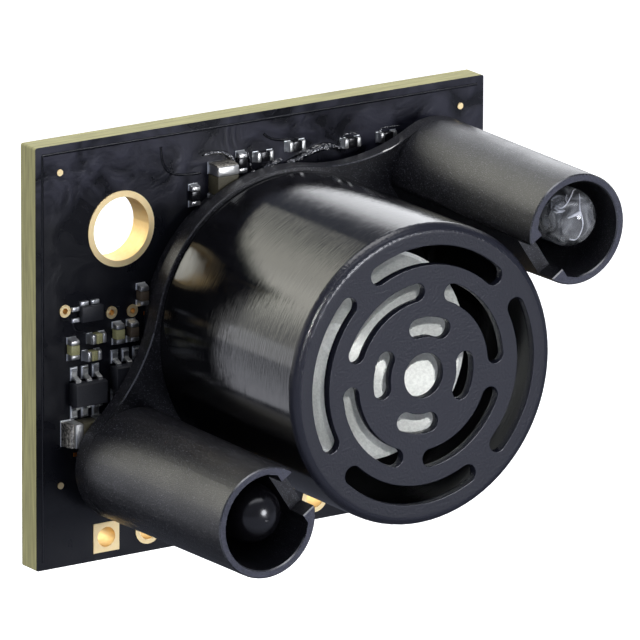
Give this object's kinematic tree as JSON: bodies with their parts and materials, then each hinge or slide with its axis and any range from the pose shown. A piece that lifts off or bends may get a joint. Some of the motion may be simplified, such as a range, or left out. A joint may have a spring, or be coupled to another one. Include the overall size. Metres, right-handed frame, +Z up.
{
  "type": "ultrasonic sensor",
  "caption": "Small circuit board carrying a round ultrasonic transducer behind a slotted grille, with an emitter and a receiver LED in two tubes of one black holder.",
  "frame": {"origin": "axis of the upper mounting hole at the back face of the board", "axes": "+X to the right and +Z up as seen from the front; the front of the sensor faces -Y"},
  "size_m": [0.0272, 0.0164, 0.0221],
  "materials": {
    "board_mask": "satin black solder mask on laminate",
    "gold_plate": "thin gold plating on copper",
    "holder_plastic": "fine matte black moulding",
    "can_paint": "black coat, matte on the grille face",
    "header_plastic": "matte",
    "tin_plate": "bright tin plating",
    "silicone": "soft, matte",
    "cone_metal": "satin",
    "ceramic": "fired ceramic",
    "die": "polished semiconductor",
    "clear_epoxy": "clear moulded epoxy",
    "dark_epoxy": "dark daylight-filter epoxy",
    "solder": "smooth solder",
    "capacitor_body": "fired ceramic, tan",
    "resistor_body": "black coat",
    "chip_plastic": "moulded epoxy"
  },
  "bodies": {
    "root": {"circuit_board": "board_mask", "mounting_hole_platings": "gold_plate", "first_header_pad": "gold_plate", "header_pads": "gold_plate", "vias": "gold_plate", "fiducials": "gold_plate", "sensor_holder": "holder_plastic", "transducer_can": "can_paint", "transducer_header": "header_plastic", "transducer_pins": "tin_plate", "silicone_seat": "silicone", "vibrating_plate": "cone_metal", "piezo_disc": "ceramic", "resonator_cone": "cone_metal", "emitter_frame": "tin_plate", "emitter_die": "die", "emitter_led": "clear_epoxy", "receiver_frame": "tin_plate", "receiver_die": "die", "receiver_led": "dark_epoxy", "solder_joints": "solder", "small_capacitors": "capacitor_body", "small_capacitor_ends": "tin_plate", "resistors": "resistor_body", "resistor_ends": "tin_plate", "bulk_capacitors": "capacitor_body", "bulk_capacitor_ends": "tin_plate", "six_leg_chips": "chip_plastic", "six_leg_chip_legs": "tin_plate", "tiny_chip": "chip_plastic", "tiny_chip_pads": "tin_plate", "driver_chip": "chip_plastic", "driver_chip_legs": "tin_plate", "controller_chip": "chip_plastic", "clock_can": "tin_plate", "back_capacitors": "capacitor_body", "back_capacitor_ends": "tin_plate", "back_resistors": "resistor_body", "back_resistor_ends": "tin_plate"}
  },
  "joints": []
}
